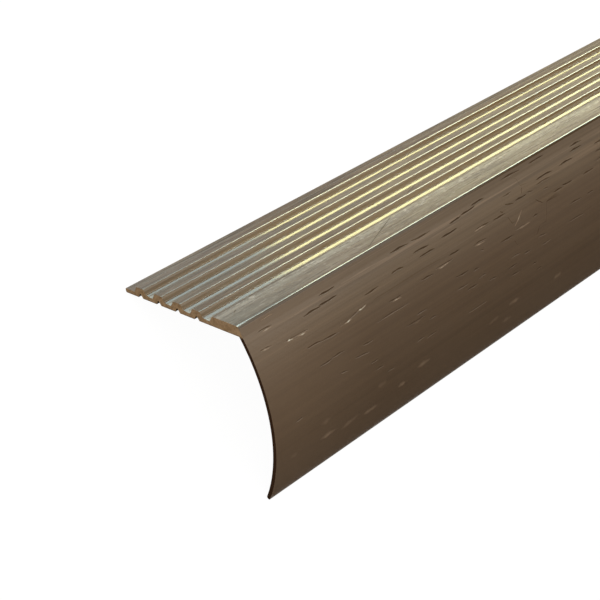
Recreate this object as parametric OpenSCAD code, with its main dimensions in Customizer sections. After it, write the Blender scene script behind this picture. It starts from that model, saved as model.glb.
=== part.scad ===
// Ribbed vinyl stair nosing, one extruded piece, sold by the stick.
// The section is drawn as installed: y runs back along the tread, z runs up, and the origin is
// the inner corner that sits on the edge of the step. The stick is then laid as it rests by
// itself on a floor, like a tent, with its back lip and its toe down and its nose up.

/* [Stick] */
// Length of the stick
length = 914.4; // [100:0.1:3700]

/* [Tread leg] */
// Depth of the tread leg, from the inner corner to the back edge
tread_depth = 47.6; // [46.5:0.1:70]
// Thickness of the tread leg over its ribs and its nose
tread_thickness = 3.1; // [2.8:0.1:5]
// Thickness of the web in the valleys between the ribs, where they are deepest
web_thickness = 1.3; // [1.0:0.05:1.9]
// Radius of the back lip's upper corner
lip_round = 0.15; // [0.05:0.05:0.5]
// Radius of the back lip's lower corner
lip_edge = 0.4; // [0.1:0.05:0.4]

/* [Ribs] */
// Number of ribs behind the nose land
rib_count = 4; // [1:1:4]
// Distance from one rib to the next
rib_pitch = 8.02; // [7.5:0.02:8.3]
// Width of a rib's flat top
rib_top = 3.2; // [2.6:0.1:3.7]
// Horizontal run of a rib's sloping back flank
back_run = 1.3; // [0.4:0.1:1.5]
// Horizontal run of a rib's steep front flank
front_run = 0.6; // [0.2:0.1:0.8]
// Radius along the back top edges of the ribs
rib_round = 0.5; // [0.1:0.05:0.6]
// Radius along the front top edges of the ribs
rib_front_round = 0.9; // [0.3:0.1:1.3]
// Radius along the foot of the ribs
valley_round = 0.25; // [0.1:0.05:0.4]
// Run of the gentle slope in which a valley rises to the front foot of a rib
scoop_run = 1.8; // [1.2:0.1:1.9]
// Rise of that slope
scoop_rise = 0.32; // [0.1:0.02:0.4]
// Radius at the start of that slope
scoop_round = 5; // [2:0.5:6]

/* [Notches] */
// Width of the notch under each rib
notch_width = 2.0; // [1:0.1:2.6]
// Height of the notch under each rib
notch_height = 1.5; // [0.8:0.1:1.8]
// Radius at the top of a notch
notch_round = 0.2; // [0.1:0.05:0.3]

/* [Nose] */
// Width of the flat nose land, from the inner corner back to the edge of the first valley
land_width = 10.1; // [6:0.1:10.5]
// Backward lean of the nose's front face, in degrees
nose_lean = 23; // [0:1:25]
// Radius of the nose's top edge
nose_round = 1.1; // [0.4:0.1:2.2]

/* [Skirt] */
// Drop of the skirt, from the underside of the tread leg to the end of the toe
skirt_drop = 52.1; // [40:0.1:70]
// Bulge of the skirt's inner face in front of the inner corner
skirt_bulge = 6.6; // [4:0.1:12]
// Wall thickness of the skirt
skirt_wall = 1.25; // [0.8:0.05:1.8]

/* [Hidden] */
$fn = 96;
vinyl_brown = [0.46, 0.37, 0.28];
// How far each rounding circle is drawn in, so that its arc ends clearly on its chord
draw_in = 0.0003;

// Skirt arc: its chord hangs straight down from the inner corner
toe_radius = skirt_wall / 2;
half_chord = (skirt_drop - toe_radius) / 2;
inner_radius = (half_chord * half_chord + skirt_bulge * skirt_bulge) / (2 * skirt_bulge);
middle_radius = inner_radius + toe_radius;
outer_radius = inner_radius + skirt_wall;
arc_centre = [inner_radius - skirt_bulge, -half_chord];
toe_angle = asin(half_chord / middle_radius);
toe_direction = [-cos(toe_angle), -sin(toe_angle)];
toe_centre = arc_centre + middle_radius * toe_direction;

// Nose: its front face starts where the skirt's outer arc reaches the underside
nose_foot = arc_centre[0] - sqrt(outer_radius * outer_radius - half_chord * half_chord);
nose_top = nose_foot + tread_thickness * tan(nose_lean);

// Back lip: the centres of its two rounded corners
lip_edge_centre = [tread_depth - lip_edge, lip_edge];
lip_round_centre = [tread_depth - lip_round, web_thickness - lip_round];

// Resting pose: the angle at which the lip's edge and the toe touch the same floor
span = lip_edge_centre - toe_centre;
lay_angle = atan2(span[1], span[0]) - asin((lip_edge - toe_radius) / norm(span));
floor_level = laid(lip_edge_centre)[1] - lip_edge;
back_reach = max(laid(lip_edge_centre)[0] + lip_edge, laid(lip_round_centre)[0] + lip_round);
front_reach = laid(toe_centre)[0] - toe_radius;
middle = (back_reach + front_reach) / 2;

// A point of the section after the turn into the resting pose
function laid(p) = [
    p[0] * cos(lay_angle) + p[1] * sin(lay_angle),
    p[1] * cos(lay_angle) - p[0] * sin(lay_angle)
];

// Back edge of the top of rib k, counted from the nose, where 0 is the nose land itself
function rib_back(k) = land_width + k * rib_pitch;

// Front foot of rib k, where its steep flank meets the slope of the valley
function rib_foot(k) = rib_back(k) - rib_top
    - front_run * (1 - scoop_rise / (tread_thickness - web_thickness));

// Middle of the foot of rib k, with its notch straight below
function rib_middle(k) = rib_back(k) - rib_top / 2 + (back_run - front_run) / 2;

// Corners of the tread leg as [y, z, radius], back along the underside and forward over the ribs
function underside() = [
    for (k = [1 : rib_count]) each [
        [rib_middle(k) - notch_width / 2, 0, 0],
        [rib_middle(k), notch_height, notch_round],
        [rib_middle(k) + notch_width / 2, 0, 0]
    ]
];

function lip() = [
    [tread_depth, 0, lip_edge],
    [tread_depth, web_thickness, lip_round]
];

function ribs() = [
    for (k = [rib_count : -1 : 1]) each [
        [rib_back(k) + back_run, web_thickness, valley_round],
        [rib_back(k), tread_thickness, rib_round],
        [rib_back(k) - rib_top, tread_thickness, rib_front_round],
        [rib_foot(k), web_thickness + scoop_rise, valley_round],
        [rib_foot(k) - scoop_run, web_thickness, scoop_round]
    ]
];

function nose() = [
    [rib_back(0) + back_run, web_thickness, valley_round],
    [rib_back(0), tread_thickness, rib_round],
    [nose_top, tread_thickness, nose_round],
    [nose_foot, 0, 0]
];

function tread_corners() = concat(underside(), lip(), ribs(), nose());

function place(c) = [c[0], c[1]];

function unit(v) = v / norm(v);

// Directions from corner i to its neighbours, and the angle between them
function to_last(c, i) = unit(place(c[(i + len(c) - 1) % len(c)]) - place(c[i]));

function to_next(c, i) = unit(place(c[(i + 1) % len(c)]) - place(c[i]));

function corner_angle(c, i) = acos(to_last(c, i) * to_next(c, i));

// Where the rounding of corner i leaves its two sides
function leave(c, i, side) = place(c[i]) + side * c[i][2] / tan(corner_angle(c, i) / 2);

function outward(c, i) = -unit(to_last(c, i) + to_next(c, i));

function round_centre(c, i) = place(c[i]) - outward(c, i) * c[i][2] / sin(corner_angle(c, i) / 2);

function is_rounded(c, i) = c[i][2] > 0;

// With the corners in anticlockwise order, a hollow corner turns to the right
function is_hollow(c, i) = cross(to_next(c, i), to_last(c, i)) < 0;

function cut_corners(c) = [
    for (i = [0 : len(c) - 1]) each is_rounded(c, i)
        ? [leave(c, i, to_last(c, i)), leave(c, i, to_next(c, i))]
        : [place(c[i])]
];

// The piece of the rounding circle between its chord and its arc
module round_cap(c, i) {
    first = leave(c, i, to_last(c, i));
    last = leave(c, i, to_next(c, i));
    depth = outward(c, i) * c[i][2];
    intersection() {
        translate(round_centre(c, i)) circle(r = c[i][2] - draw_in);
        polygon([first, last, last + depth, first + depth]);
    }
}

// An outline whose corners are cut straight, then filled or hollowed to true arcs
module rounded_outline(c) {
    difference() {
        union() {
            polygon(cut_corners(c));
            for (i = [0 : len(c) - 1]) if (is_rounded(c, i) && !is_hollow(c, i)) round_cap(c, i);
        }
        for (i = [0 : len(c) - 1]) if (is_rounded(c, i) && is_hollow(c, i)) round_cap(c, i);
    }
}

// The skirt: a ring cut at the toe, run up into the nose, with a round toe
module skirt_outline() {
    reach = 2 * outer_radius;
    run_in = web_thickness / 2;
    intersection() {
        difference() {
            translate(arc_centre) circle(r = outer_radius);
            translate(arc_centre) circle(r = inner_radius);
        }
        polygon([
            arc_centre,
            [arc_centre[0], run_in],
            [arc_centre[0] - reach, run_in],
            arc_centre + reach * toe_direction
        ]);
    }
    translate(toe_centre) circle(r = toe_radius);
}

module section() {
    rounded_outline(tread_corners());
    skirt_outline();
}

module nosing() {
    color(vinyl_brown)
        rotate([90, 0, 90])
            linear_extrude(height = length, center = true)
                translate([-middle, -floor_level])
                    rotate(-lay_angle)
                        section();
}

nosing();
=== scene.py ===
# %% [markdown]
# # A ribbed vinyl stair nosing
#
# A stair nosing is one extruded stick of brown vinyl. A ribbed leg lies on the step, and a bowed skirt
# hangs over its edge. Unheld on a floor the stick lies like a tent, on its toe and its back lip, and that is
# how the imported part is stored. This lesson loads the part as a fixed frame, works the section out again in
# finer steps, presses the wood pores of the skirt into it, and gives every face its finish.

import bpy
import numpy as np
from mathutils import Matrix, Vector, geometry


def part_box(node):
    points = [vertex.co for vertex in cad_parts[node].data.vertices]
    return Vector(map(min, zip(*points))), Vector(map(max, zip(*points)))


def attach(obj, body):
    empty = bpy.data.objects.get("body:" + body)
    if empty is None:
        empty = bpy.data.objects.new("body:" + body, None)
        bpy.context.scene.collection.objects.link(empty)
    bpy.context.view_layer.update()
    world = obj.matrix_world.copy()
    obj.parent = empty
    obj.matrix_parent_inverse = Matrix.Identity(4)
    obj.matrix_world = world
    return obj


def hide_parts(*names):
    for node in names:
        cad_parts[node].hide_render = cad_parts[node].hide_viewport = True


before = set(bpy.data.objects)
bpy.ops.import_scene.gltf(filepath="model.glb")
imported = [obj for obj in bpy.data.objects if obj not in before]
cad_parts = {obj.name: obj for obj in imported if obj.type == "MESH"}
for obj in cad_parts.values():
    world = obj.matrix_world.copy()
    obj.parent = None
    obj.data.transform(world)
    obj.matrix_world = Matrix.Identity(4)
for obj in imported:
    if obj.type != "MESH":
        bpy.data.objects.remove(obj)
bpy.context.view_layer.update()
NODE = "nosing"
low, high = (np.array(corner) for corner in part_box(NODE))
print("nodes:", sorted(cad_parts), "box in metres:", low.round(4), high.round(4))

# %% [markdown]
# ## The section
#
# The section is drawn as installed: y runs back along the step, z runs up, and the origin is the inner corner
# that sits on the edge of the step. It could be drawn with a Bezier curve and beveled, but every edge of an
# extrusion is a straight line or an arc, so a list of corners with a radius each says all there is to say.
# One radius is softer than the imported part's: the scoop of a valley starts with 11 mm instead of 5 mm. That
# moves the skin by less than 0.03 mm, and it keeps the band of light in each valley narrow.

# %% Sizes of the section, in millimetres
MM = 0.001
TREAD_DEPTH, TREAD_THICKNESS, WEB_THICKNESS = 47.6, 3.1, 1.3
LIP_ROUND, LIP_EDGE = 0.15, 0.4
RIB_COUNT, RIB_PITCH, RIB_TOP = 4, 8.02, 3.2
BACK_RUN, FRONT_RUN = 1.3, 0.6
RIB_ROUND, RIB_FRONT_ROUND, VALLEY_ROUND = 0.5, 0.9, 0.25
SCOOP_RUN, SCOOP_RISE, SCOOP_ROUND = 1.8, 0.32, 11.0
NOTCH_WIDTH, NOTCH_HEIGHT, NOTCH_ROUND = 2.0, 1.5, 0.2
LAND_WIDTH, NOSE_LEAN, NOSE_ROUND = 10.1, np.radians(23), 1.1
SKIRT_DROP, SKIRT_BULGE, SKIRT_WALL = 52.1, 6.6, 1.25

toe_radius = SKIRT_WALL / 2
half_chord = (SKIRT_DROP - toe_radius) / 2
inner_radius = (half_chord**2 + SKIRT_BULGE**2) / (2 * SKIRT_BULGE)
outer_radius = inner_radius + SKIRT_WALL
arc_centre = np.array([inner_radius - SKIRT_BULGE, -half_chord])
toe_angle = np.arcsin(half_chord / (inner_radius + toe_radius))
inner_angle = np.arcsin(half_chord / inner_radius)
nose_angle = np.arcsin(half_chord / outer_radius)
nose_foot = arc_centre[0] - outer_radius * np.cos(nose_angle)
nose_top = nose_foot + TREAD_THICKNESS * np.tan(NOSE_LEAN)
skirt_run = outer_radius * (nose_angle + toe_angle)
print(f"skirt: outer radius {outer_radius:.1f} mm, {skirt_run:.1f} mm from the nose to the toe")

# %% Corners of the tread leg as rows of y, z and radius
ribs_backward = np.arange(1, RIB_COUNT + 1)


def rows_per_rib(ribs, *corners):
    """Rows of y, z and radius for each rib in turn, where y counts from the back edge of that rib's top."""
    rows = np.tile(corners, (len(ribs), 1, 1))
    rows[:, :, 0] += (LAND_WIDTH + ribs * RIB_PITCH)[:, None]
    return rows.reshape(-1, 3)


notch_middle = (BACK_RUN - FRONT_RUN - RIB_TOP) / 2
underside = rows_per_rib(
    ribs_backward,
    (notch_middle - NOTCH_WIDTH / 2, 0, 0),
    (notch_middle, NOTCH_HEIGHT, NOTCH_ROUND),
    (notch_middle + NOTCH_WIDTH / 2, 0, 0),
)
lip = [(TREAD_DEPTH, 0, LIP_EDGE), (TREAD_DEPTH, WEB_THICKNESS, LIP_ROUND)]
foot = -RIB_TOP - FRONT_RUN * (1 - SCOOP_RISE / (TREAD_THICKNESS - WEB_THICKNESS))
rib_corners = rows_per_rib(
    ribs_backward[::-1],
    (BACK_RUN, WEB_THICKNESS, VALLEY_ROUND),
    (0, TREAD_THICKNESS, RIB_ROUND),
    (-RIB_TOP, TREAD_THICKNESS, RIB_FRONT_ROUND),
    (foot, WEB_THICKNESS + SCOOP_RISE, VALLEY_ROUND),
    (foot - SCOOP_RUN, WEB_THICKNESS, SCOOP_ROUND),
)
nose = [
    (LAND_WIDTH + BACK_RUN, WEB_THICKNESS, VALLEY_ROUND),
    (LAND_WIDTH, TREAD_THICKNESS, RIB_ROUND),
    (nose_top, TREAD_THICKNESS, NOSE_ROUND),
    (nose_foot, 0, 0),
]
tread_corners = np.concatenate([[(0, 0, 0)], underside, lip, rib_corners, nose])
print("corners of the tread leg:", len(tread_corners))

# %% Walk round the corners
ROUND_STEPS = 6
DRAW_IN = 0.0003


def walk_round(corners, steps):
    """Points of an outline whose corners, in anticlockwise order, are rows of y, z and radius.

    The outward normal turns evenly from the side that arrives at a corner to the side that leaves it. A point
    lies one radius along that normal from the centre, or against it in a hollow corner, drawn in by a hair as
    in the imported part. A corner with no radius is one point with two normals. Returns the points, the normals
    that arrive and the normals that leave.
    """
    place, radius = corners[:, :2], corners[:, 2:]
    leaving = np.roll(place, -1, axis=0) - place
    leaving /= np.linalg.norm(leaving, axis=1, keepdims=True)
    arriving = np.roll(leaving, 1, axis=0)
    cross = arriving[:, 0] * leaving[:, 1] - arriving[:, 1] * leaving[:, 0]
    turn = np.arctan2(cross, (arriving * leaving).sum(axis=1))
    side = np.sign(turn)[:, None]
    first_normal = np.stack([arriving[:, 1], -arriving[:, 0]], axis=1)
    first_point = place - arriving * radius * np.tan(np.abs(turn) / 2)[:, None]
    centre = first_point - side * radius * first_normal
    share = np.linspace(0, 1, steps + 1)
    angle = np.arctan2(first_normal[:, 1], first_normal[:, 0])[:, None] + turn[:, None] * share
    normal = np.stack([np.cos(angle), np.sin(angle)], axis=2)
    point = centre[:, None] + (side * np.maximum(radius - DRAW_IN, 0))[:, None] * normal
    sharp = radius[:, 0] == 0
    keep = np.ones(angle.shape, bool)
    keep[sharp, 1:] = False
    leaves = normal.copy()
    leaves[sharp, 0] = normal[sharp, -1]
    return point[keep], normal[keep], leaves[keep]


tread_points, tread_arrives, tread_leaves = walk_round(tread_corners, ROUND_STEPS)
print("points round the tread leg:", len(tread_points))

# %% The toe and the inner face of the skirt
TOE_STEPS, INNER_STEPS = 12, 36


def arc(centre, radius, start, stop, steps, outward=1):
    """Points and normals of an arc, at a radius from a centre and at even angles from start to stop.

    The normals point away from the centre, or towards it where outward is -1.
    """
    angle = np.linspace(start, stop, steps + 1)
    direction = np.stack([-np.cos(angle), np.sin(angle)], axis=1)
    return centre + radius * direction, outward * direction


toe_direction = np.array([-np.cos(toe_angle), -np.sin(toe_angle)])
toe_centre = arc_centre + (inner_radius + toe_radius) * toe_direction
toe_points, toe_normals = arc(toe_centre, toe_radius, -toe_angle, -toe_angle - np.pi, TOE_STEPS)
inner_points, inner_normals = arc(arc_centre, inner_radius, -toe_angle, inner_angle, INNER_STEPS, -1)
rest_points = np.concatenate([toe_points[:-1], inner_points[:-1], tread_points])
rest_arrives = np.concatenate([toe_normals[:-1], inner_normals[:-1], tread_arrives])
rest_leaves = np.concatenate([toe_normals[:-1], inner_normals[:-1], tread_leaves])
corner_row = len(toe_points) + len(inner_points) - 2
rest_arrives[corner_row] = inner_normals[-1]
print("points from the toe round to the nose:", len(rest_points))

# %% [markdown]
# ## How the stick lies
#
# The toe and the back lip touch the same floor, so the section is turned by the angle of the line that
# touches both of their round edges. It could be turned by eye, but worked out like this it follows the sizes,
# and the frame's own box then says how far the turned section moves.

# %% Lay the section on the floor
lip_centre = np.array([TREAD_DEPTH - LIP_EDGE, LIP_EDGE])
span = lip_centre - toe_centre
lay_angle = np.arctan2(span[1], span[0]) - np.arcsin((LIP_EDGE - toe_radius) / np.linalg.norm(span))
lay_turn = np.array([[np.cos(lay_angle), np.sin(lay_angle)], [-np.sin(lay_angle), np.cos(lay_angle)]])
lay_move = low[1:] / MM - (rest_points @ lay_turn.T).min(axis=0)


def laid(points):
    """Places of section points in the row frame, in metres: turned, then moved to its box."""
    return (points @ lay_turn.T + lay_move) * MM


def laid_direction(directions):
    """Directions of the section in the row frame, with no part along the stick."""
    turned = directions @ lay_turn.T
    return np.concatenate([np.zeros(turned.shape[:-1] + (1,)), turned], axis=-1)


print("lay angle:", round(np.degrees(lay_angle), 2))
print("highest point:", laid(rest_points).max(axis=0), "in the packed part:", high[1:])

# %% [markdown]
# ## Pores and scratches
#
# The skirt is embossed with short dark dashes, as the pores of sawn oak, and use has left scratches and pale
# rubbed spots. They could be bump, but the light catches the lower wall of every dash, so each one is a real
# dent: a lens that is sunk a fifth of a millimetre. The dark of a dash is partly dirt and partly painted
# shade, and thin bright rims below some dashes are painted highlights. The marks seen in the photograph
# are listed, and the rest of the stick is filled with random dashes in the same density.

# %% Marks seen in the photograph
# A row holds x from the near end, v down the skirt, the length, the drop to the right and the tone, which is
# dark above nought and pale below it. On the nose v runs down too, and on the tread's flats it runs forward.
SEEN_DASHES = np.array([
    (7.6, 0.7, 4.3, 0.1, 0.5), (31.2, 0.6, 5.5, 0, 0.9), (61.2, 0.6, 6.5, 0.2, 1),
    (70.7, 0.8, 7.5, 0.2, 0.7), (97.2, 0.6, 5.5, 0, 1), (86, 1.9, 5, -0.2, 1), (91.8, 1.5, 6.4, -0.2, 1),
    (23.8, 3.3, 6, -0.1, 0.9), (30.2, 3, 6.4, 0, 1), (69, 4.1, 6, 0.2, 0.9), (81.5, 4.4, 6.5, -0.1, 1),
    (128.5, 4.2, 7.5, 0.1, 1), (57.6, 5.8, 4.8, 0.1, 0.8), (70.5, 6, 6, 0.1, 0.9), (115, 6.5, 5, 0.1, 1),
    (45.8, 7.1, 5.3, -0.2, 0.8), (16, 6.8, 8, 0.3, 0.25), (5.1, 5.4, 3.8, 0.3, 0.2),
    (95.5, 7.8, 6, 0.1, 0.7), (103.4, 8.2, 5.2, 0.1, 0.9), (37.2, 10.2, 10.5, -1.7, 0.3),
    (80.7, 10.4, 4.2, 0.1, 0.9), (20.4, 11.6, 5, 0.2, 0.7), (26.2, 12.1, 6.4, 0.3, 0.7),
    (53, 12.8, 5, 0.1, 0.6), (67.3, 12.4, 5, 0.3, 0.7), (75.8, 11.7, 7.5, 0, 0.4),
    (92.2, 11.7, 5.5, 0.1, 0.6), (104, 15.7, 6, 0.1, 0.9), (111.2, 14.7, 4.5, 0, 0.1),
    (119.1, 14, 2.2, 0, 0.9), (50.8, 16.1, 11.5, 0, 0.45), (81.6, 17.6, 5.7, 0.3, 0.8),
    (87.8, 18.8, 2.8, 0, 0.7), (22.8, 18.2, 4.5, 0, 0.6), (27.4, 17.9, 4.6, 0.1, 0.7),
    (38.9, 20, 3.8, 0.2, 0.6), (28, 23.8, 3, 0.6, 0.5), (59, 22.6, 7, 0.1, 0.7), (66.3, 24.8, 3, 0, 0.6),
    (80.7, 21.5, 4.2, 0.1, 0.6), (85, 23.4, 4.4, 0.1, 0.8), (94.7, 24.9, 3.5, 0.3, 0.6),
    (104.5, 25.2, 4, 0, 0.8), (112.2, 23.6, 3.5, 0.1, 0.6), (120.2, 21.3, 3.5, 0.2, 0.6),
    (40.2, 26.6, 3, 0, 0.6), (60.1, 29.2, 3.2, -0.2, 0.6), (65.1, 30.1, 4.2, -0.2, 0.6),
    (86.6, 31.2, 7.7, 0, 0.4), (115.5, 28.9, 2, 0, 0.8), (147.8, 0.6, 5.5, 0.1, 1), (146.8, 2, 5.5, 0, 1),
    (140.2, 4.1, 6.5, 0, 1), (132.5, 10.7, 5, 0.1, 0.8), (137.4, 10.4, 4.8, 0.3, 0.8),
    (148.8, 10.8, 5.5, -0.1, 0.8), (139.4, 17.3, 5.8, 0.2, 0.7), (147.5, 17.5, 3, 0.1, 0.7),
    (138.8, 22.8, 7.5, 0.4, 0.6), (9.5, 29.3, 2.5, -0.1, 0.5), (42, 29.7, 3, 0, 0.6),
    (46.8, 32.8, 3, 0, 0.4), (117.8, 31.8, 2.5, 0, 0.8), (90, 21.9, 3.5, 0, 0.5), (61.8, 21, 4, 0, 0.5),
    (105.6, 28.1, 5, 0.2, 0.7), (36, 22.4, 5, 0.6, 0.4), (122, 24.4, 4, -0.2, 0.5),
    (106.3, 22.3, 4, 0, 0.4), (127.5, 5.6, 6.5, 0.1, 0.6), (110, 3.4, 3.5, -0.1, 0.5),
    (119.9, 6.4, 2.4, 0.4, 0.4), (127.2, 8.1, 2, 0.2, 0.4), (92.2, 14.4, 1.4, 0.4, 0.4),
])
SEEN_SMUDGES = np.array([
    (19.5, 35.6, 4.5, 0, -0.3), (42.8, 35.8, 4.5, 0, -0.3), (61.5, 38.6, 6.5, 0, -0.5),
    (20.5, 41.1, 7, 0, -0.6), (29.5, 42.2, 8, -1.4, -0.4), (38.5, 43, 6.5, 0, -0.6),
    (52, 41.2, 3.5, 0, -0.7), (105.5, 38.4, 6, 0, -0.5), (95.8, 40.7, 5.5, -0.8, -0.3),
    (103, 44.5, 6, 0.4, -0.4), (7, 40.3, 3, 0, -0.3), (129, 40, 4.5, 0, -0.5),
])
# These pale marks are painted highlights on the lower rims of dashes
SEEN_GLINTS = np.array([
    (13.4, 6.9, 2.8, 0.1, -2), (17.8, 7.2, 3.8, 0.1, -1.3), (34.2, 11.1, 3.6, -0.2, -1.6),
    (40.3, 9.9, 4.5, -0.5, -1.7), (53.6, 13.2, 4.4, 0.2, -1.2), (75.2, 12, 6, -0.2, -1.1),
    (92, 12.2, 5.5, 0.2, -0.9), (94, 8, 6, 0, -1.1), (113, 14.9, 7, 0, -0.8), (5, 5.6, 3, 0.2, -1),
    (8, 1.1, 3.8, 0, -1.2), (59.5, 23, 5, 0, -0.3),
])
SEEN_SCRATCHES = np.array([
    (111.2, 11.8, 5.2, -3.6, -1), (109.3, 6.3, 3.5, 1, 1), (122.4, 10.6, 2.8, 2.2, 1),
    (116.6, 1.7, 0.8, 3, 1), (116.5, 4.7, 1, -1.6, 0.9), (107.4, 10.9, 1.3, 2.7, 1),
    (105, 7.2, 1.2, 0.6, 0.9), (124.5, 14.9, 2.5, -6, 1), (107.5, 18.4, 0.8, 1.8, 0.8),
    (118.9, 18.9, 1.7, -2, 0.8), (46.5, 0.9, 20, 0.2, -0.4), (80.5, 2.9, 14, 0.1, -0.25),
    (20, 1.6, 18, 0.1, -0.25), (60, 9.6, 30, 0, 0.3),
])
# The pale mark on the nose is a painted highlight
NOSE_DASHES = np.array([(114.5, 1.2, 8.5, 0.2, 0.8), (128, 1.1, 7, 0, 0.8), (9.6, 0.9, 4.5, 0, -0.9)])
LAND_SCRATCHES = np.array([(61.5, 4.5, 19.5, -8.4, 1), (5.4, 3, 1.4, -0.8, 0.8)])
RIB_SCRATCHES = np.array([(88.5, 1.0, 5, -1.3, 1)])
print("dashes seen:", len(SEEN_DASHES), "scratches seen:", len(SEEN_SCRATCHES))
print("rubbed spots seen:", len(SEEN_SMUDGES), "bright rims seen:", len(SEEN_GLINTS))

# %% Random dashes beyond the part of the stick that the photograph shows
SEED = 7
SEEN_LENGTH = 153
CELL_LENGTH, CELL_ROWS = 9.5, 22
TOP_CHANCE, TOE_CHANCE = 0.38, 0.05
SHORTEST, LONGEST, DROP_SPREAD = 3, 7.5, 0.15
FAINTEST, DARKEST, TOE_FADE = 0.3, 0.9, 0.4
random = np.random.default_rng(SEED)
stick_length = (high[0] - low[0]) / MM
cell_x = np.arange(SEEN_LENGTH + CELL_LENGTH / 2, stick_length - CELL_LENGTH, CELL_LENGTH)
cell_v = (np.arange(CELL_ROWS) + 0.5) * skirt_run / CELL_ROWS
cell_x, cell_v = (grid.ravel() for grid in np.meshgrid(cell_x, cell_v))
chance = TOP_CHANCE + (TOE_CHANCE - TOP_CHANCE) * cell_v / skirt_run
chosen = random.random(len(cell_x)) < chance
cell_x, cell_v = cell_x[chosen], cell_v[chosen]
count = len(cell_x)
dash_length = random.uniform(SHORTEST, LONGEST, count)
random_dashes = np.stack([
    cell_x + random.uniform(-0.5, 0.5, count) * (CELL_LENGTH - dash_length),
    cell_v + random.uniform(-0.5, 0.5, count),
    dash_length,
    random.normal(0, DROP_SPREAD, count),
    random.uniform(FAINTEST, DARKEST, count) * (1 - TOE_FADE * cell_v / skirt_run),
], axis=1)
print("random dashes:", count)

# %% The shape of a dent
DEEPEST = 0.1
WIDTH_WAVE, WIDTH_TURN, LINE_WAVE, LINE_TURN, BEND_SPREAD = 0.18, 6, 0.05, 4, 0.08
TONE_END, TONE_FADE, RIM_FADE, TIP_TONE = 0.75, 0.4, 0.2, 1.6


def dent_grid(stations, across):
    """Shares along and across a mark: one point at each tip, and stations between with every share across."""
    between = np.linspace(-1, 1, stations + 2)[1:-1]
    along = np.concatenate([[-1, 1], np.repeat(between, len(across))])
    return along, np.concatenate([[0, 0], np.tile(across, stations)])


def dent_field(marks, half_width, depth, grid, taper):
    """Rows of x, v, sinking, lean and tone over all the marks of one surface.

    A mark is a wavy lens, as wide as one less the square of its share along, to the power taper. It falls
    evenly from its upper rim to its deepest line, just below the middle, and rises to its lower rim. Its lean
    is the slope of the two walls, and none at the rims and tips. A dark mark is toned, partly as dirt and
    partly as painted shade, from its upper rim to part way up the lower wall, which catches the light above
    that, and a pale one fades to its rims.
    """
    along, across = grid
    x, v, length, drop, tone = (part[:, None] for part in marks.T)
    half_width = np.broadcast_to(half_width, len(marks))[:, None]
    phase = random.uniform(0, 2 * np.pi, (len(marks), 1))
    bend = random.normal(0, BEND_SPREAD, (len(marks), 1))
    opening = (1 - along**2) ** taper * (1 + WIDTH_WAVE * np.sin(WIDTH_TURN * along + phase))
    wave = LINE_WAVE * np.sin(LINE_TURN * along + 2 * phase)
    line = v + drop * along / 2 + bend * (along**2 - 0.5) + wave
    upper = across < DEEPEST
    furrow = np.where(upper, (1 + across) / (1 + DEEPEST), (1 - across) / (1 - DEEPEST))
    inside = (np.abs(across) < 1) & (np.abs(along) < 1)
    slope = np.where(upper, -1 / (1 + DEEPEST), 1 / (1 - DEEPEST)) * inside
    # A dark mark is toned partly as dirt and partly as painted shade on the wall that faces away from the light
    tone_share = np.clip((TONE_END - across) / TONE_FADE, 0, 1) * np.clip((1 + across) / RIM_FADE, 0, 1)
    tone_share = np.where(tone < 0, (1 - across**2) * opening, tone_share * np.minimum(1, TIP_TONE * opening))
    field = [low[0] / MM + x + length / 2 * along, line + half_width * opening * across]
    field += [depth * opening * furrow, slope * depth / half_width, tone * tone_share]
    return np.stack(np.broadcast_arrays(*field), axis=-1).reshape(-1, 5)


dash_grid = dent_grid(10, np.array([-1, -0.8, -0.3, 0.15, 0.35, 0.75, 1]))
scratch_grid = dent_grid(48, np.array([-1, -0.5, 0, 0.5, 1]))
print("points in a dash:", len(dash_grid[0]), "points in a scratch:", len(scratch_grid[0]))

# %% The kinds of marks
# Half width, depth, grid and taper of a pale rubbed spot, of the painted highlight on the rim below a dash,
# and of a scratch, whose grid has many stations because it runs at a slant
SMUDGE = (1.0, 0.02, dash_grid, 0.8)
GLINT = (0.26, 0.03, dash_grid, 0.8)
SCRATCH = (0.26, 0.01, scratch_grid, 0.3)
DASH_STRETCH = (1, 1, 1.3, 1.3, 1)
DASH_HALF, DASH_WIDENING, DASH_DEPTH, DASH_TAPER = 0.26, 0.11, 0.18, 0.8


def dashes(marks):
    """The dents of dashes, stretched because their tips taper away. The darker a dash, the wider it is."""
    half_width = DASH_HALF + DASH_WIDENING * marks[:, 4]
    return dent_field(marks * DASH_STRETCH, half_width, DASH_DEPTH, dash_grid, DASH_TAPER)


skirt_marks = np.concatenate([
    dashes(SEEN_DASHES),
    dent_field(SEEN_SMUDGES, *SMUDGE),
    dent_field(SEEN_GLINTS, *GLINT),
    dent_field(SEEN_SCRATCHES, *SCRATCH),
    dashes(random_dashes),
])
print("points in the skirt's dents:", len(skirt_marks))

# %% [markdown]
# ## Surfaces that carry marks
#
# The skirt, the nose's front face, the nose land and the first rib's top carry marks. They could be fine
# grids pushed in by the dents, but most of a grid would lie where nothing is dented. So each is a function of
# x along the stick and v across it, and the points of its marks and of its border are joined by a Delaunay
# triangulation in the plane of x and v. The dashes lie along the stick, so x is shortened for it, which keeps
# the triangles in a dash well shaped.

# %% Surfaces as functions
SHORTEN = 0.25


def skirt(x, v, depth):
    """The skirt: points, outward normals and the directions in which v grows.

    A point lies at the outer radius less its depth from the arc's centre, and its angle is the nose's less v
    over that radius.
    """
    angle = nose_angle - v / outer_radius
    normal = np.stack([-np.cos(angle), np.sin(angle)], axis=-1)
    flat = laid(arc_centre + (outer_radius - depth)[:, None] * normal)
    growing = np.stack([-np.sin(angle), -np.cos(angle)], axis=-1)
    return np.concatenate([x[:, None] * MM, flat], axis=1), laid_direction(normal), laid_direction(growing)


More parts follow.
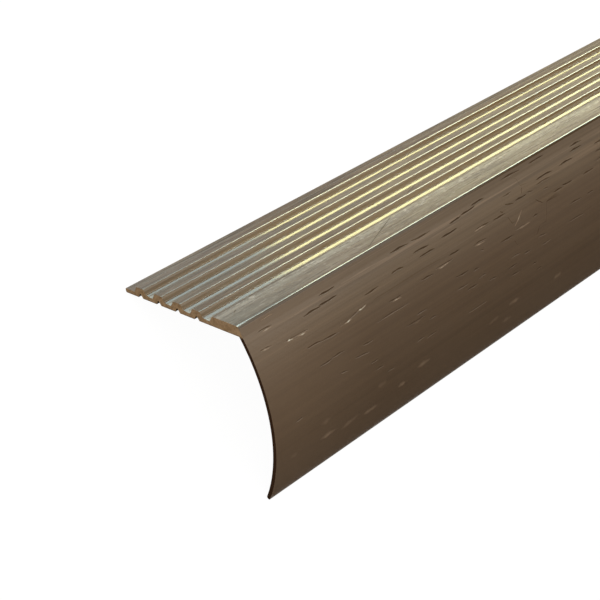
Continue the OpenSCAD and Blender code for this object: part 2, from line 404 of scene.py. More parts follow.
def side_surface(side):
    """A straight side of the section, from its point number side to the next, as such a function."""
    start, end = rest_points[side], rest_points[side + 1]
    growing = (end - start) / np.linalg.norm(end - start)
    normal = np.array([growing[1], -growing[0]])

    def surface(x, v, depth):
        """A point lies v along the side from its start, and depth against its normal."""
        flat = laid(start + v[:, None] * growing - depth[:, None] * normal)
        spread = np.ones((len(x), 1))
        points = np.concatenate([x[:, None] * MM, flat], axis=1)
        return points, spread * laid_direction(normal), spread * laid_direction(growing)

    return surface


def side_near(y, z):
    """Number of the side of the section whose middle is nearest to a point."""
    middle = (rest_points[:-1] + rest_points[1:]) / 2
    return int(np.argmin(np.linalg.norm(middle - (y, z), axis=1)))


nose_side = len(rest_points) - 2
land_side = side_near(LAND_WIDTH / 2, TREAD_THICKNESS)
rib_side = side_near(LAND_WIDTH + RIB_PITCH - RIB_TOP / 2, TREAD_THICKNESS)
print("sides with marks:", nose_side, land_side, rib_side)

# %% Points of the section carried along the stick
COLUMNS, ROWS = 48, 30
column = np.linspace(low[0], high[0], COLUMNS + 1) / MM
row = np.linspace(0, skirt_run, ROWS + 1)[1:-1]
around = len(rest_points)
carried = np.concatenate([
    np.repeat(column[:, None, None] * MM, around, axis=1),
    np.repeat(laid(rest_points)[None], COLUMNS + 1, axis=0),
], axis=2)
carried_index = np.arange(carried.shape[0] * around).reshape(-1, around)
end_x, end_v = np.repeat(column[[0, -1]], len(row)), np.tile(row, 2)
end_rows = skirt(end_x, end_v, 0 * end_v)[0]
end_index = carried_index.size + np.arange(2 * len(row)).reshape(2, -1)
print("points round the section:", around, "columns:", len(column))

# %% A face with marks
FINISHES = ("grained", "tread", "smooth", "sawn", "notch")
grained, tread, smooth, sawn, notch = range(len(FINISHES))
MARK_REACH = 0.45
SAME_POINT = 1e-7
points_so_far = [carried.reshape(-1, 3), end_rows]
tones_so_far = [np.zeros(carried_index.size + end_index.size)]
batches = []


def far_from_marks(places, marks):
    """Which places keep clear of all the points of some marks."""
    gap = (places[:, None] - marks[None, :, :2]) * (SHORTEN, 1)
    return (gap**2).sum(axis=2).min(axis=1) > MARK_REACH**2


def add_face(surface, border_index, border, fill, marks, finish):
    """Triangles over border, fill and marked points of a surface, with normals that lean into the dents."""
    unmarked = np.concatenate([border, fill])
    field = np.concatenate([np.pad(unmarked, ((0, 0), (0, 3))), marks])
    plane = field[:, :2] * (SHORTEN, 1)
    faces = np.array(geometry.delaunay_2d_cdt(plane.tolist(), [], [], 0, SAME_POINT)[2])[:, ::-1]
    points, normals, growing = surface(field[:, 0], field[:, 1], field[:, 2])
    normals = normals - field[:, 3:4] * growing
    normals /= np.linalg.norm(normals, axis=1, keepdims=True)
    first = sum(len(made) for made in points_so_far)
    index = np.concatenate([border_index, first + np.arange(len(field) - len(border))])
    points_so_far.append(points[len(border):])
    tones_so_far.append(field[len(border):, 4])
    batches.append((index[faces], normals[faces], finish))
    return len(faces)


border = np.stack([
    np.concatenate([column, column, end_x]),
    np.concatenate([0 * column, 0 * column + skirt_run, end_v]),
], axis=1)
border_index = np.concatenate([carried_index[:, -1], carried_index[:, 0], end_index.ravel()])
fill = np.stack(np.meshgrid(column[1:-1], row), axis=-1).reshape(-1, 2)
fill = fill[far_from_marks(fill, skirt_marks)]
print("triangles on the skirt:", add_face(skirt, border_index, border, fill, skirt_marks, grained))

# %% The other faces with marks
for side, marks, finish in (
    (nose_side, dashes(NOSE_DASHES), grained),
    (land_side, dent_field(LAND_SCRATCHES, *SCRATCH), tread),
    (rib_side, dent_field(RIB_SCRATCHES, *SCRATCH), tread),
):
    width = np.linalg.norm(rest_points[side + 1] - rest_points[side])
    border = np.stack([np.tile(column, 2), np.repeat([0, width], len(column))], axis=1)
    border_index = carried_index[:, [side, side + 1]].T.ravel()
    triangles = add_face(side_surface(side), border_index, border, border[:0], marks, finish)
    print("triangles on side", side, ":", triangles)

# %% [markdown]
# ## One closed skin
#
# All the other sides of the section are carried straight along the stick, and the sawn ends are one face
# each. A curve with a bevel could make them, but it couldn't share its points with the faces that carry
# marks. Exact normals go with every face corner, because Blender's own averaging would soften the notches.

# %% The plain sides and the ends
LEVEL_NORMAL, UNDER_NORMAL, SLACK = 0.999, -0.1, 0.01
plain = np.setdiff1d(np.arange(around - 1), (nose_side, land_side, rib_side))
strip = np.stack([
    carried_index[:-1, plain],
    carried_index[:-1, plain + 1],
    carried_index[1:, plain + 1],
    carried_index[1:, plain],
], axis=-1)
leaves, arrives = laid_direction(rest_leaves[plain]), laid_direction(rest_arrives[plain + 1])
strip_normals = np.broadcast_to(np.stack([leaves, arrives, arrives, leaves], axis=1), strip.shape + (3,))
middle = (rest_points[plain] + rest_points[plain + 1]) / 2
ribs_end = LAND_WIDTH + RIB_COUNT * RIB_PITCH + BACK_RUN
level = np.minimum(rest_leaves[plain, 1], rest_arrives[plain + 1, 1]) > LEVEL_NORMAL
raised = level & (middle[:, 1] > TREAD_THICKNESS - SLACK)
lip_top = level & (middle[:, 0] > ribs_end)
below = (rest_leaves[plain, 1] < UNDER_NORMAL) & (middle[:, 1] > SLACK)
in_notch = below & (middle[:, 0] > LAND_WIDTH) & (middle[:, 0] < ribs_end)
side_finish = np.where(raised | lip_top, tread, np.where(in_notch, notch, smooth))
strip_finish = np.broadcast_to(side_finish, strip.shape[:2])
batches.append((strip.reshape(-1, 4), strip_normals.reshape(-1, 4, 3), strip_finish.ravel()))
near_end = np.concatenate([carried_index[0], end_index[0]])
far_end = np.concatenate([carried_index[-1], end_index[1]])
for loop, facing in ((near_end[::-1], -1.0), (far_end, 1.0)):
    batches.append((loop[None], np.full((1, len(loop), 3), (facing, 0, 0)), sawn))
all_points = np.concatenate(points_so_far)
all_tones = np.concatenate(tones_so_far)
print("points:", len(all_points), "faces:", sum(len(faces) for faces, _, _ in batches))

# %% Put the skin into a mesh


def skin_mesh(name, points, batches):
    """A mesh from batches of faces with equal corner counts, each with its corner normals and its finish."""
    mesh = bpy.data.meshes.new(name)
    loops = np.concatenate([faces.ravel() for faces, _, _ in batches])
    normals = np.concatenate([normals.reshape(-1, 3) for _, normals, _ in batches])
    sizes = np.concatenate([np.full(len(faces), faces.shape[1]) for faces, _, _ in batches])
    finish = np.concatenate([np.broadcast_to(kind, len(faces)) for faces, _, kind in batches])
    mesh.vertices.add(len(points))
    mesh.vertices.foreach_set("co", points.astype(np.float32).ravel())
    mesh.loops.add(len(loops))
    mesh.loops.foreach_set("vertex_index", loops.astype(np.int32))
    mesh.polygons.add(len(sizes))
    mesh.polygons.foreach_set("loop_start", (np.cumsum(sizes) - sizes).astype(np.int32))
    mesh.polygons.foreach_set("material_index", finish.astype(np.int32))
    mesh.polygons.foreach_set("use_smooth", np.ones(len(sizes), bool))
    mesh.update(calc_edges=True)
    mesh.normals_split_custom_set(normals.tolist())
    return mesh


nosing_mesh = skin_mesh("nosing_skin", all_points, batches)
tone_attribute = nosing_mesh.attributes.new("mark_tone", "FLOAT", "POINT")
tone_attribute.data.foreach_set("value", all_tones.astype(np.float32))
nosing = bpy.data.objects.new("nosing_vinyl", nosing_mesh)
bpy.context.scene.collection.objects.link(nosing)
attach(nosing, "root")
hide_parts(NODE)
nosing_mesh.calc_loop_triangles()
loop_edges = np.zeros(len(nosing_mesh.loops), int)
nosing_mesh.loops.foreach_get("edge_index", loop_edges)
edge_uses = np.bincount(loop_edges, minlength=len(nosing_mesh.edges))
print("triangles:", len(nosing_mesh.loop_triangles), "open edges:", int((edge_uses != 2).sum()))

# %% [markdown]
# ## The finishes
#
# All of it is the same brown vinyl, but the extruder and use leave four finishes: a satin grained skirt, worn
# flats on the tread, glossy valleys and edges that no roller touched, and sawn ends. The fifth, on the notches,
# is near black as painted shade, and most of the others also carry painted light and shade. They could be
# painted on images, but noise keeps its scale all over the stick, and the section says where each colour
# belongs.

# %% Helpers for node trees
MIX_SOCKETS, MIX_RESULT = (0, 6, 7), 2


def new_finish(name, matt=None):
    """A material with a Principled shader. With a roughness for matt, it has that and no gloss."""
    material = bpy.data.materials.new(name)
    material.use_nodes = True
    shader = material.node_tree.nodes["Principled BSDF"]
    if matt:
        shader.inputs["Roughness"].default_value = matt
        shader.inputs["Specular IOR Level"].default_value = 0.0
    return material.node_tree, shader, material


def add(tree, kind, links=(), **values):
    """A node whose sockets are named in values, with links as pairs of an output and an input's name."""
    made = tree.nodes.new(kind)
    for name, value in values.items():
        if name in made.inputs:
            made.inputs[name].default_value = value
        else:
            setattr(made, name, value)
    for output, name in links:
        tree.links.new(output, made.inputs[name])
    return made


def noise(tree, scale, detail=4.0, roughness=0.55):
    """Noise on Object coordinates stretched by three scales, in cycles per metre."""
    place = add(tree, "ShaderNodeTexCoord").outputs["Object"]
    mapping = add(tree, "ShaderNodeMapping", [(place, "Vector")], Scale=scale)
    texture = add(tree, "ShaderNodeTexNoise", [(mapping.outputs["Vector"], "Vector")],
                  Scale=1.0, Detail=detail, Roughness=roughness)
    return texture.outputs["Fac"]


def remap(tree, value, low_in, high_in, low_out, high_out):
    """A value moved from one range to another, and held inside it."""
    ranges = {"From Min": low_in, "From Max": high_in, "To Min": low_out, "To Max": high_out}
    return add(tree, "ShaderNodeMapRange", [(value, "Value")], **ranges).outputs["Result"]


def blend(tree, factor, first, second):
    """A colour mixed from two by a factor, where each of the three may be a socket or a plain value."""
    made = add(tree, "ShaderNodeMix", data_type="RGBA")
    for number, value in zip(MIX_SOCKETS, (factor, first, second)):
        socket = made.inputs[number]
        if isinstance(value, float):
            socket.default_value = value
        elif isinstance(value, tuple):
            socket.default_value = value + (1,)
        else:
            tree.links.new(value, socket)
    return made.outputs[MIX_RESULT]


def grey(share):
    """A share as a colour."""
    return (share, share, share)


def both(tree, share, other):
    """Two shares multiplied: nought is mixed towards the second by the first."""
    return blend(tree, share, grey(0), other)


def bump(tree, shader, height, distance):
    """Relief of a height socket on a shader, in metres."""
    made = add(tree, "ShaderNodeBump", [(height, "Height")], Distance=distance)
    tree.links.new(made.outputs["Normal"], shader.inputs["Normal"])


print("finishes to make:", FINISHES)

# %% Shares along the stick and across its section
BACKWARD, UP, DOWN = (1, 0), (0, 1), (0, -1)
inner_corner = laid(np.zeros((1, 2)))[0]


def stick_share(tree, start, stop, most=1.0):
    """Nought to most while a point goes from start to stop along the stick, in mm from its near end."""
    place = add(tree, "ShaderNodeTexCoord").outputs["Object"]
    along_row = add(tree, "ShaderNodeSeparateXYZ", [(place, "Vector")]).outputs["X"]
    return remap(tree, along_row, float(low[0]) + start * MM, float(low[0]) + stop * MM, 0, most)


def section_reach(tree, direction):
    """How far a point lies along a direction of the section, in metres, and how far the inner corner does."""
    place = add(tree, "ShaderNodeTexCoord").outputs["Object"]
    along_row = laid_direction(np.array(direction))
    reach = add(tree, "ShaderNodeVectorMath", [(place, 0)], operation="DOT_PRODUCT")
    reach.inputs[1].default_value = along_row
    return reach.outputs["Value"], float(inner_corner @ along_row[1:])


def section_share(tree, direction, start, stop, most=1.0):
    """Nought to most while a point goes from start to stop along a direction of the section, in mm."""
    reach, corner = section_reach(tree, direction)
    return remap(tree, reach, corner + start * MM, corner + stop * MM, 0, most)


print("inner corner at y and z:", inner_corner.round(4))

# %% [markdown]
# ### Dirt, painted shade, rubbed spots and painted highlights
#
# A pore holds dirt, which is dark and matt, but its dark is partly painted shade. A rubbed spot is pale, and
# a bright rim below a dash is a painted highlight. They could be painted on an image, but the mesh already has
# a point wherever a mark changes, so each point carries its tone in an attribute.

# %% Marks laid over a finish
# Dark marks are partly dirt and partly painted shade, pale ones are rubbed spots, and the palest are painted
# highlights
DIRT_AND_SHADE_BROWN, RUBBED_AND_HIGHLIGHT_BROWN, GLINT_PALE = (0.084, 0.053, 0.031), (0.36, 0.245, 0.16), (0.8, 0.8, 0.66)
DIRT_TONE, DIRT_GLOSS = 0.8, 0.1
GLINT_START, GLINT_FULL = -0.8, -2


def marked(tree, shader, colour, gloss):
    """The mesh's marks laid over a colour and a gloss. Dark ones are dirt with painted shade, matt as dirt is.
    """
    tone = add(tree, "ShaderNodeAttribute", attribute_name="mark_tone").outputs["Fac"]
    colour = blend(tree, remap(tree, tone, 0, 1, 0, 1), colour, DIRT_AND_SHADE_BROWN)
    colour = blend(tree, remap(tree, tone, 0, -1, 0, 1), colour, RUBBED_AND_HIGHLIGHT_BROWN)
    # The palest marks become painted highlights
    colour = blend(tree, remap(tree, tone, GLINT_START, GLINT_FULL, 0, 1), colour, GLINT_PALE)
    gloss = blend(tree, remap(tree, tone, 0, DIRT_TONE, 0, 1), gloss, grey(DIRT_GLOSS))
    tree.links.new(colour, shader.inputs["Base Color"])
    tree.links.new(gloss, shader.inputs["Specular IOR Level"])


print("tones from", all_tones.min().round(2), "to", all_tones.max().round(2))

# %% [markdown]
# ### The grained skirt
#
# A roller presses the grain into the skirt while the vinyl is warm, which leaves a satin gloss, long streaks
# and fine lines along the stick. One wood texture could give all three, but they have different scales, so
# each is a noise of its own. Pale streaks along the top of the skirt are painted highlights, a darker band
# below the top is painted shade, and the paler near end and toe are painted light.

# %% The grained skirt and the nose's front
VINYL_BROWN = (0.16, 0.102, 0.055)
VINYL_DARK, VINYL_PALE = (0.136, 0.086, 0.046), (0.184, 0.118, 0.064)
MIDDLE_SHADE_BROWN, PAINTED_LIGHT_PALE = (0.118, 0.071, 0.041), (0.235, 0.154, 0.094)
MIDDLE_START, HIGHLIGHT_TOP, TOE_START, SKIRT_NEAR = (6, 13), (12, 0), (35, 46), (45, 10)
SKIRT_GLOSS, SKIRT_RELIEF = 0.85, 0.00004


def grained_vinyl():
    """The skirt and the nose's front: brown with faint long streaks and fine die lines, in a satin gloss."""
    tree, shader, material = new_finish("grained_vinyl")
    streak = noise(tree, (4, 700, 700))
    mottle = noise(tree, (40, 70, 70), 3.0)
    lines = noise(tree, (2, 1500, 1500), 2.0)
    # Pale streaks along the top of the skirt are painted highlights
    streak_highlight = remap(tree, noise(tree, (9, 900, 900), 4.0, 0.6), 0.56, 0.7, 0, 0.6)
    streak_highlight = both(tree, section_share(tree, DOWN, *HIGHLIGHT_TOP), streak_highlight)
    colour = blend(tree, remap(tree, streak, 0.38, 0.62, 0, 1), VINYL_DARK, VINYL_PALE)
    colour = blend(tree, remap(tree, mottle, 0.3, 0.7, 0, 0.5), colour, VINYL_BROWN)
    # A darker band below the top of the skirt is painted shade
    colour = blend(tree, section_share(tree, DOWN, *MIDDLE_START, most=0.5), colour, MIDDLE_SHADE_BROWN)
    colour = blend(tree, streak_highlight, colour, RUBBED_AND_HIGHLIGHT_BROWN)
    # The paler near end and toe are painted light
    colour = blend(tree, stick_share(tree, *SKIRT_NEAR, most=0.35), colour, PAINTED_LIGHT_PALE)
    colour = blend(tree, section_share(tree, DOWN, *TOE_START, most=0.42), colour, PAINTED_LIGHT_PALE)
    marked(tree, shader, colour, grey(SKIRT_GLOSS))
    tree.links.new(remap(tree, mottle, 0.3, 0.7, 0.42, 0.52), shader.inputs["Roughness"])
    bump(tree, shader, lines, SKIRT_RELIEF)
    return material


nosing_mesh.materials.append(grained_vinyl())
print("made", nosing_mesh.materials[grained].name)

# %% [markdown]
# ### The worn tread
#
# Feet wear the nose land grey and glossy, most of all along its back, and leave the flat tops of the ribs
# dull, and that grey is partly wear and partly a painted sheen. A mask could be painted for it, but it follows
# the section, so a few shares across it set how much of the worn grey shows, and noise breaks it into
# streaks, patches and pale specks, which are painted highlights. A cool grey on the front of the land, near
# the stick's near end, is a painted reflection.

# %% The flats of the tread
TREAD_DARK, TREAD_PALE, TREAD_ROSE = (0.115, 0.073, 0.042), (0.25, 0.165, 0.1), (0.22, 0.13, 0.1)
WEAR_AND_SHEEN_GREY, SPECK_HIGHLIGHT_GREY, LAND_COOL_REFLECTION = (0.4, 0.35, 0.285), (0.8, 0.72, 0.61), (0.19, 0.19, 0.165)
EDGE_WEAR_AND_SHEEN, LAND_WEAR_AND_SHEEN, BACK_WEAR_AND_SHEEN, RIB_WEAR_AND_SHEEN = 0.14, 0.36, 0.95, 0.1
LAND_START, BACK_START, RIBS_START = (0.5, 3.0), (5.5, 8.0), (9.0, 9.7)
COOL_REFLECTION_FRONT, COOL_REFLECTION_NEAR = (8.0, 5.0), (45, 5)
SECOND_RIB, LAST_RIB, LAST_NEAR = (19.0, 22.0), (36.0, 39.0), (10, 50)
FIRST_GLOSS, MIDDLE_GLOSS, WORN_GLOSS = 0.12, 0.22, 0.6
LAST_NEAR_GLOSS, LAST_FAR_GLOSS = 0.3, 0.1
TREAD_RELIEF = 0.0001


def tread_wear_and_sheen(tree):
    """Wear and painted sheen of a flat: little at the nose, more on the land, most at its back, hardly on the
    ribs.
    """
    wear_and_sheen = blend(tree, section_share(tree, BACKWARD, *LAND_START), grey(EDGE_WEAR_AND_SHEEN), grey(LAND_WEAR_AND_SHEEN))
    wear_and_sheen = blend(tree, section_share(tree, BACKWARD, *BACK_START), wear_and_sheen, grey(BACK_WEAR_AND_SHEEN))
    return blend(tree, section_share(tree, BACKWARD, *RIBS_START), wear_and_sheen, grey(RIB_WEAR_AND_SHEEN))


def tread_gloss(tree, wear_and_sheen):
    """The gloss of a flat: by its rib from the front to the back, and high where it is worn."""
    gloss = blend(tree, section_share(tree, BACKWARD, *SECOND_RIB), grey(FIRST_GLOSS), grey(MIDDLE_GLOSS))
    gloss = blend(tree, wear_and_sheen, gloss, grey(WORN_GLOSS))
    last = blend(tree, stick_share(tree, *LAST_NEAR), grey(LAST_NEAR_GLOSS), grey(LAST_FAR_GLOSS))
    return blend(tree, section_share(tree, BACKWARD, *LAST_RIB), gloss, last)


def tread_vinyl():
    """The flats of the tread: streaked along the stick, and greyer and glossier where feet have worn them.

    The grey is partly a painted sheen, pale specks are painted highlights, and a cool grey at the front of
    the near end is a painted reflection.
    """
    tree, shader, material = new_finish("tread_vinyl")
    streak = noise(tree, (45, 900, 900), 4.0, 0.6)
    patch = noise(tree, (35, 400, 400), 4.0, 0.6)
    tint = noise(tree, (18, 140, 140), 3.0)
    grain = noise(tree, (500, 1100, 1100), 3.0, 0.6)
    wave = noise(tree, (25, 180, 180), 3.0)
    # Pale specks on the worn flats are painted highlights
    highlight_specks = remap(tree, noise(tree, (350, 1000, 1000), 3.0, 0.6), 0.55, 0.66, 0, 0.55)
    wear_and_sheen = tread_wear_and_sheen(tree)
    wear_and_sheen_patches = blend(tree, 0.4, remap(tree, patch, 0.38, 0.68, 0, 1), remap(tree, grain, 0.42, 0.65, 0, 1))
    # A cool grey on the front of the land, near the stick's near end, is a painted reflection
    cool_reflection = both(tree, section_share(tree, BACKWARD, *COOL_REFLECTION_FRONT), stick_share(tree, *COOL_REFLECTION_NEAR, most=0.4))
    colour = blend(tree, remap(tree, streak, 0.36, 0.64, 0, 1), TREAD_DARK, TREAD_PALE)
    colour = blend(tree, remap(tree, tint, 0.42, 0.62, 0, 0.3), colour, TREAD_ROSE)
    # The worn grey is partly wear and partly a painted sheen
    colour = blend(tree, both(tree, wear_and_sheen_patches, wear_and_sheen), colour, WEAR_AND_SHEEN_GREY)
    colour = blend(tree, cool_reflection, colour, LAND_COOL_REFLECTION)
    colour = blend(tree, both(tree, highlight_specks, wear_and_sheen), colour, SPECK_HIGHLIGHT_GREY)
    marked(tree, shader, colour, tread_gloss(tree, wear_and_sheen))
    tree.links.new(remap(tree, streak, 0.3, 0.7, 0.22, 0.36), shader.inputs["Roughness"])
    bump(tree, shader, blend(tree, 0.1, wave, grain), TREAD_RELIEF)
    return material


nosing_mesh.materials.append(tread_vinyl())
print("made", nosing_mesh.materials[tread].name)

# %% [markdown]
# ### Smooth valleys and edges
#
# The valleys, flanks and edges keep the gloss of the die. The near ends of the valleys and of the nose edge
# carry pale painted highlights, the rounded nose edge is painted dark as shade, and the first centimetres are
# painted greyer as a cool reflection. A second piece could stand for each pale end, but a share that comes
# again with every rib finds all the valleys at once.

# %% The valleys, flanks, edges and underside
NEAR_REFLECTION_DARK, NEAR_REFLECTION_PALE = (0.19, 0.135, 0.083), (0.25, 0.178, 0.11)
FAR_DARK, FAR_PALE = (0.212, 0.139, 0.067), (0.28, 0.185, 0.09)
NOSE_SHADE_BROWN, HIGHLIGHT_PALE = (0.1, 0.063, 0.034), (0.62, 0.67, 0.61)
NEAR_TO_FAR, BEHIND_NOSE = (15, 55), (0.4, 1.4)
NOSE_TOP_EDGE, NOSE_HIGHLIGHT_SPAN = (2.85, 3.05), (6.0, 0.0)
VALLEY_RISING, VALLEY_FALLING = (1.2, 1.8), (3.1, 2.5)
VALLEY_HIGHLIGHT_SPAN, ABOVE_UNDERSIDE = (3.0, 0.3), (0.4, 0.8)
SMOOTH_RELIEF = 0.00001


def valley_share(tree):
    """Nought to one where a point nears the hollow of a valley, which comes again with every rib."""
    reach, corner = section_reach(tree, BACKWARD)
    edge = corner + LAND_WIDTH * MM
    wrapped = add(tree, "ShaderNodeMath", [(reach, 0)], operation="WRAP")
    wrapped.inputs[1].default_value = edge + RIB_PITCH * MM
    wrapped.inputs[2].default_value = edge
    rising, falling = (
        remap(tree, wrapped.outputs[0], edge + start * MM, edge + stop * MM, 0, 1)
        for start, stop in (VALLEY_RISING, VALLEY_FALLING)
    )
    return both(tree, rising, falling)


def smooth_vinyl():
    """The glossy valleys, flanks, edges and underside as they leave the die.

    The rounded nose edge is painted dark as shade, and the near end has pale painted highlights and a greyer
    painted cool reflection.
    """
    tree, shader, material = new_finish("smooth_vinyl")
    streak = noise(tree, (10, 1600, 1600))
    share = remap(tree, streak, 0.35, 0.65, 0, 1)
    # Over the first centimetres the colour is greyer, a painted cool reflection
    near_colour = blend(tree, share, NEAR_REFLECTION_DARK, NEAR_REFLECTION_PALE)
    far_colour = blend(tree, share, FAR_DARK, FAR_PALE)
    colour = blend(tree, stick_share(tree, *NEAR_TO_FAR), near_colour, far_colour)
    # A pale painted highlight along the top of the nose edge at the near end
    edge_highlight = both(tree, section_share(tree, UP, *NOSE_TOP_EDGE), stick_share(tree, *NOSE_HIGHLIGHT_SPAN))
    # The rounded nose edge is painted dark brown as shade
    edge_colour = blend(tree, edge_highlight, NOSE_SHADE_BROWN, HIGHLIGHT_PALE)
    colour = blend(tree, section_share(tree, BACKWARD, *BEHIND_NOSE), edge_colour, colour)
    # Pale painted highlights on the near ends of the valleys
    end_highlight = both(tree, stick_share(tree, *VALLEY_HIGHLIGHT_SPAN), valley_share(tree))
    end_highlight = both(tree, section_share(tree, UP, *ABOVE_UNDERSIDE), end_highlight)
    colour = blend(tree, end_highlight, colour, HIGHLIGHT_PALE)
    tree.links.new(colour, shader.inputs["Base Color"])
    tree.links.new(remap(tree, streak, 0.3, 0.7, 0.08, 0.13), shader.inputs["Roughness"])
    bump(tree, shader, streak, SMOOTH_RELIEF)
    return material


nosing_mesh.materials.append(smooth_vinyl())
print("made", nosing_mesh.materials[smooth].name)

# %% [markdown]
# ### Sawn ends and notches
#
# A saw leaves the ends matt, tan across the tread leg and dark across the thin skirt, and the notches
# are painted near black as shade. Both could be darkened by more modelling, but dull colours with no gloss
# are what the eye sees.

# %% The sawn ends and the notches
SAWN_DARK, SAWN_PALE, SAWN_SKIRT = (0.268, 0.176, 0.095), (0.422, 0.287, 0.166), (0.042, 0.022, 0.012)
NOTCH_SHADE_DARK, NOTCH_SHADE_PALE = (0.004, 0.0025, 0.0015), (0.012, 0.007, 0.004)
SKIRT_TO_TREAD, SAWN_RELIEF = (-0.4, 0.4), 0.00005


def sawn_vinyl():
    """The sawn ends: tan across the tread leg and dark across the skirt."""
    tree, shader, material = new_finish("sawn_vinyl", matt=0.7)
    speck = noise(tree, (900, 900, 900))
    tan = blend(tree, remap(tree, speck, 0.35, 0.65, 0, 1), SAWN_DARK, SAWN_PALE)
    colour = blend(tree, section_share(tree, UP, *SKIRT_TO_TREAD), SAWN_SKIRT, tan)
    tree.links.new(colour, shader.inputs["Base Color"])
    bump(tree, shader, speck, SAWN_RELIEF)
    return material


def notch_vinyl():
    """The walls of the notches, painted near black as shade."""
    tree, shader, material = new_finish("notch_vinyl", matt=0.6)
    speck = noise(tree, (300, 900, 900), 3.0)
    # The near-black walls of the notches are painted shade
    colour = blend(tree, remap(tree, speck, 0.35, 0.65, 0, 1), NOTCH_SHADE_DARK, NOTCH_SHADE_PALE)
    tree.links.new(colour, shader.inputs["Base Color"])
    return material


nosing_mesh.materials.append(sawn_vinyl())
nosing_mesh.materials.append(notch_vinyl())
print("materials:", [material.name for material in nosing_mesh.materials])

# %% [markdown]
# ## The camera
#
# The camera could be moved by hand until the picture agrees, but the photograph's own lines place it. The
# stick's long edges run to one vanishing point, which gives the direction of the stick from the camera. The
# underside of the tread leg shows as a line at the near end, and it gives the second direction. The near
# end's inner corner and its distance then say where the camera stands.

# %% Place the camera by the photograph's lines
IMAGE_SIZE = 600
FOCAL_PIXELS = 1380
VANISHING_POINT = np.array([1956.9, -677.5])
CORNER_PIXEL = np.array([239.21, 337.0])
UNDERSIDE_SLOPE = 0.3982
CORNER_DISTANCE = 0.36057
SENSOR, CLIP_START = 36.0, 0.01


def unit(vector):
    """The vector at length one."""
    return vector / np.linalg.norm(vector)


def ray(pixel):
    """Direction from the camera to a pixel, as right, down and forward."""
    return unit(np.append(pixel - IMAGE_SIZE / 2, FOCAL_PIXELS))


along = ray(VANISHING_POINT)
end_plane = np.cross(ray(CORNER_PIXEL), ray(CORNER_PIXEL + (1, UNDERSIDE_SLOPE)))
back = unit(np.cross(along, end_plane))
back = back * np.sign(back[2])
up = np.cross(along, back)
to_camera = np.stack([
    along,
    np.cos(lay_angle) * back + np.sin(lay_angle) * up,
    np.cos(lay_angle) * up - np.sin(lay_angle) * back,
], axis=1)
near_corner = np.append(low[0], inner_corner)
camera_place = near_corner - to_camera.T @ (ray(CORNER_PIXEL) * CORNER_DISTANCE)
camera_matrix = np.eye(4)
camera_matrix[:3, :3] = to_camera.T * (1, -1, -1)
camera_matrix[:3, 3] = camera_place
camera = bpy.data.objects.new("camera", bpy.data.cameras.new("camera"))
camera.data.sensor_width = SENSOR
camera.data.lens = SENSOR * FOCAL_PIXELS / IMAGE_SIZE
camera.data.clip_start = CLIP_START
camera.matrix_world = Matrix(camera_matrix.tolist())
bpy.context.scene.collection.objects.link(camera)
bpy.context.scene.camera = camera
print("camera at", camera_place.round(3), "lens", round(camera.data.lens, 1), "mm")

# %% [markdown]
# ## Floor and light
#
# The camera sees the floor as white, with the stick's shadow on it, and the glossy vinyl shows what stands
# around it. A picture of a room could stand there, but plain cards and lamps are easier to aim: a white card
# on the floor behind the stick, a black card in front of it, and three windows low behind it, a warm one
# below a pale one, both rolled a little, and a cool one beside them.

# %% The floor and the cards
FLOOR_HALF, FLOOR_GAP = 60.0, 0.0002
PAPER, FLOOR_SHADE, FLOOR_GLOW = (0.56, 0.47, 0.4, 1), (0.1, 0.1, 0.1, 1), 0.955
CARD_EDGE, CARD_LEVEL, CARD_TURN = 0.0365, 0.0005, (50, 200)
WHITE_NEAR, WHITE_FAR, CARD_BLACK = (1.07, 1.22, 1.17), (1.35, 1.28, 1.02), (0.02, 0.02, 0.02)


def stage_plate(name, near_x, near_y, far_x, far_y, level):
    """A level rectangle at a height, linked into the scene."""
    mesh = bpy.data.meshes.new(name)
    corners = [(near_x, near_y, 0), (far_x, near_y, 0), (far_x, far_y, 0), (near_x, far_y, 0)]
    mesh.from_pydata(corners, [], [(0, 1, 2, 3)])
    plate = bpy.data.objects.new(name, mesh)
    plate.location.z = level
    bpy.context.scene.collection.objects.link(plate)
    return plate


def shader_tree(name):
    """A new material's tree with nothing in it but its output."""
    tree, shader, material = new_finish(name)
    tree.nodes.remove(shader)
    return material, tree, tree.nodes["Material Output"].inputs["Surface"]


def either(tree, share, other):
    """The larger of two shares."""
    return add(tree, "ShaderNodeMath", [(share, 0), (other, 1)], operation="MAXIMUM").outputs[0]


def floor_material():
    """Diffuse for the light, and where it is seen or mirrored mostly white, with a little shade left in."""
    material, tree, output = shader_tree("pale_floor")
    ray_kind = add(tree, "ShaderNodeLightPath").outputs
    paper = add(tree, "ShaderNodeBsdfDiffuse", Color=PAPER)
    shade = add(tree, "ShaderNodeBsdfDiffuse", Color=FLOOR_SHADE)
    glow = add(tree, "ShaderNodeEmission", Color=(1, 1, 1, 1), Strength=FLOOR_GLOW)
    seen = add(tree, "ShaderNodeAddShader", [(shade.outputs[0], 0), (glow.outputs[0], 1)])
    shown = either(tree, ray_kind["Is Camera Ray"], ray_kind["Is Glossy Ray"])
    shown = either(tree, shown, ray_kind["Is Transmission Ray"])
    mix = add(tree, "ShaderNodeMixShader", [(shown, 0), (paper.outputs[0], 1), (seen.outputs[0], 2)])
    tree.links.new(mix.outputs[0], output)
    return material


def card_material(name, near_colour, far_colour=None):
    """A card that glows. With a second colour it turns to that along the stick, just past its near end."""
    material, tree, output = shader_tree(name)
    glow = add(tree, "ShaderNodeEmission", Color=near_colour + (1,), Strength=1.0)
    if far_colour:
        colour = blend(tree, stick_share(tree, *CARD_TURN), near_colour, far_colour)
        tree.links.new(colour, glow.inputs["Color"])
    tree.links.new(glow.outputs[0], output)
    return material


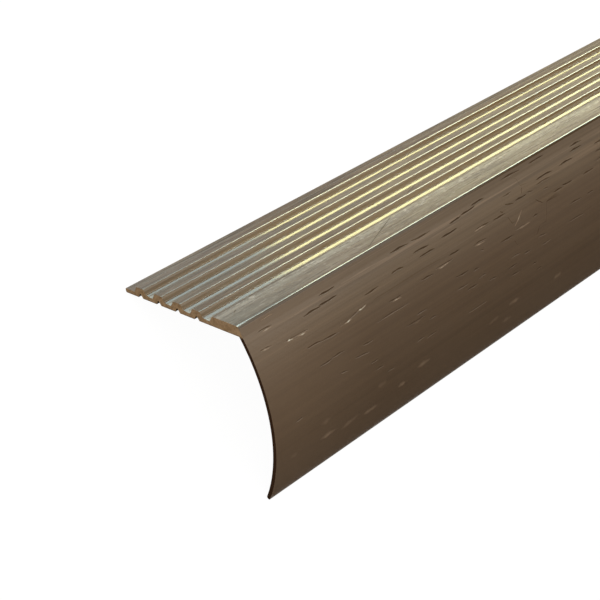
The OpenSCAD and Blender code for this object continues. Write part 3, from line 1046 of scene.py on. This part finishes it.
floor = stage_plate("floor", -FLOOR_HALF, -FLOOR_HALF, FLOOR_HALF, FLOOR_HALF, low[2] - FLOOR_GAP)
floor.data.materials.append(floor_material())
white_card = stage_plate("white_card", -0.9, CARD_EDGE, 1.6, 0.9, CARD_LEVEL)
white_card.data.materials.append(card_material("white_card", WHITE_NEAR, WHITE_FAR))
black_card = stage_plate("black_card", -1.2, -1.6, 1.8, -CARD_EDGE, CARD_LEVEL)
black_card.data.materials.append(card_material("black_card", CARD_BLACK))
for card in (white_card, black_card):
    card.visible_diffuse = False
    card.visible_camera = False
    card.visible_shadow = False
print("floor at", round(floor.location.z, 4))

# %% The lamps
WINDOW_BACK, WINDOW_ROLL = 0.92, np.radians(3)
SKY_STRENGTH = 0.08


def soft_box(name, place, target, size, watts, colour, roll=0.0):
    """A rectangular area lamp at a place, turned to a target and rolled by an angle, unseen by the camera."""
    lamp = bpy.data.lights.new(name, "AREA")
    lamp.shape = "RECTANGLE"
    lamp.size, lamp.size_y = size
    lamp.energy = watts
    lamp.color = colour
    made = bpy.data.objects.new(name, lamp)
    forward = unit(np.subtract(target, place))
    level = unit(np.cross(forward, (0, 0, 1)))
    side = np.cos(roll) * level - np.sin(roll) * np.cross(level, forward)
    turn = np.eye(4)
    turn[:3, :3] = np.stack([side, np.cross(side, forward), -forward], axis=1)
    turn[:3, 3] = place
    made.matrix_world = Matrix(turn.tolist())
    made.visible_camera = False
    bpy.context.scene.collection.objects.link(made)
    return made


def window(name, x, z, size, watts, colour, roll=0.0):
    """A soft box that stands upright behind the stick. It shows in the gloss and adds no other light."""
    made = soft_box(name, (x, WINDOW_BACK, z), (x, 0.0, z), size, watts, colour, roll)
    made.visible_diffuse = False


soft_box("overhead_box", (-0.2, 0.05, 1.2), (-0.2, 0.0, 0.0), (2.0, 1.5), 13.5, (1.0, 0.985, 0.91))
window("warm_window", 0.713, 0.122, (0.974, 0.17), 6.2, (1.0, 0.97, 0.5), WINDOW_ROLL)
window("pale_window", 0.713, 0.417, (0.974, 0.42), 21.5, (0.87, 1.0, 0.84), WINDOW_ROLL)
window("cool_window", -0.0665, 0.32, (0.587, 0.6), 4.7, (0.68, 0.95, 1.0))
soft_box("end_fill", (-1.7, 0.1, 0.7), (-0.45, 0.0, 0.02), (0.8, 0.6), 7, (1.0, 1.0, 1.0))

world = bpy.data.worlds.new("studio")
bpy.context.scene.world = world
world.use_nodes = True
sky = world.node_tree.nodes["Background"]
sky.inputs["Color"].default_value = (1, 1, 1, 1)
sky.inputs["Strength"].default_value = SKY_STRENGTH
print("lamps:", [light.name for light in bpy.data.lights])

# %% [markdown]
# ## The view transform
#
# The dressed stick stays inside the imported part's box.

# %% The view transform
bpy.context.scene.view_settings.view_transform = "Standard"
